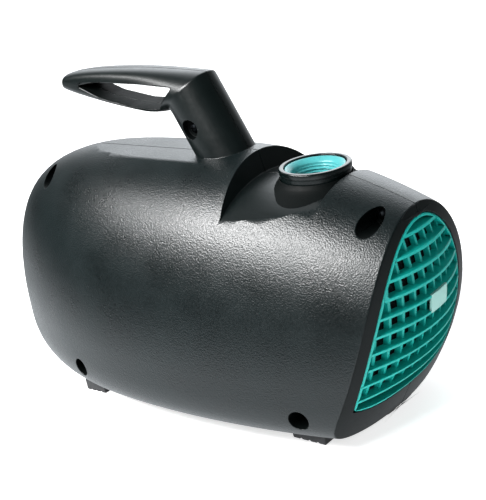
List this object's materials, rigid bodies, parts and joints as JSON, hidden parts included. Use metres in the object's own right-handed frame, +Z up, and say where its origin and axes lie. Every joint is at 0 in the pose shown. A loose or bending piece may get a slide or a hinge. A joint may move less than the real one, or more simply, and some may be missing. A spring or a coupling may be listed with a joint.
{
  "type": "air pump",
  "caption": "Portable barrel-shaped electric air pump with a carrying handle, a slatted intake at the front and a threaded outlet on top.",
  "frame": {"origin": "centre of the bounding box on the surface that the feet rest on", "axes": "+X towards the intake grille, +Z up, Y = 0 is the seam between the housing halves"},
  "size_m": [0.407, 0.1888, 0.2519],
  "materials": {
    "housing_plastic": "charcoal plastic with a fine spark-eroded grain",
    "collar_plastic": "smooth satin black",
    "teal_plastic": "satin moulded teal",
    "mint_plastic": "pale mint, blank",
    "aqua_plastic": "satin aqua",
    "black_rubber": "matt black rubber",
    "filter_foam": "open-cell black foam",
    "inner_plastic": "grey moulded plastic",
    "zinc_steel": "zinc-plated steel",
    "lamination_steel": "stacked sheet edges",
    "cast_aluminium": "die-cast",
    "copper_wire": "enamelled copper winding"
  },
  "bodies": {
    "housing": {"cable_gland": "collar_plastic", "capacitor": "inner_plastic", "filter_foam": "filter_foam", "foot_front_left": "black_rubber", "foot_front_right": "black_rubber", "foot_rear_left": "black_rubber", "foot_rear_right": "black_rubber", "front_bearing": "zinc_steel", "front_end_shield": "cast_aluminium", "gland_nut": "collar_plastic", "housing_left": "housing_plastic", "housing_right": "housing_plastic", "housing_screw_1": "zinc_steel", "housing_screw_2": "zinc_steel", "housing_screw_3": "zinc_steel", "housing_screw_4": "zinc_steel", "housing_screw_5": "zinc_steel", "intake_grille": "teal_plastic", "motor_bolt_1": "zinc_steel", "motor_bolt_2": "zinc_steel", "motor_bolt_3": "zinc_steel", "motor_bolt_4": "zinc_steel", "motor_casing": "cast_aluminium", "motor_mount_front": "black_rubber", "motor_mount_rear": "black_rubber", "nameplate_blank": "mint_plastic", "outlet_collar": "collar_plastic", "outlet_gasket": "black_rubber", "outlet_insert": "aqua_plastic", "rear_bearing": "zinc_steel", "rear_end_shield": "cast_aluminium", "shaft_seal": "black_rubber", "stator_core": "lamination_steel", "stator_winding_front": "copper_wire", "stator_winding_rear": "copper_wire", "terminal_block": "inner_plastic", "volute_casing": "inner_plastic", "volute_cover": "inner_plastic", "volute_gasket": "black_rubber"},
    "rotor": {"rotor_shaft": "zinc_steel", "rotor_core": "lamination_steel", "impeller": "inner_plastic", "impeller_nut": "zinc_steel", "cooling_fan": "inner_plastic"}
  },
  "joints": [
    {"name": "rotor_spin", "type": "hinge", "parent": "housing", "child": "rotor", "pos_m": [0.047, 0, 0.092], "axis": [1, 0, 0], "continuous": true}
  ]
}
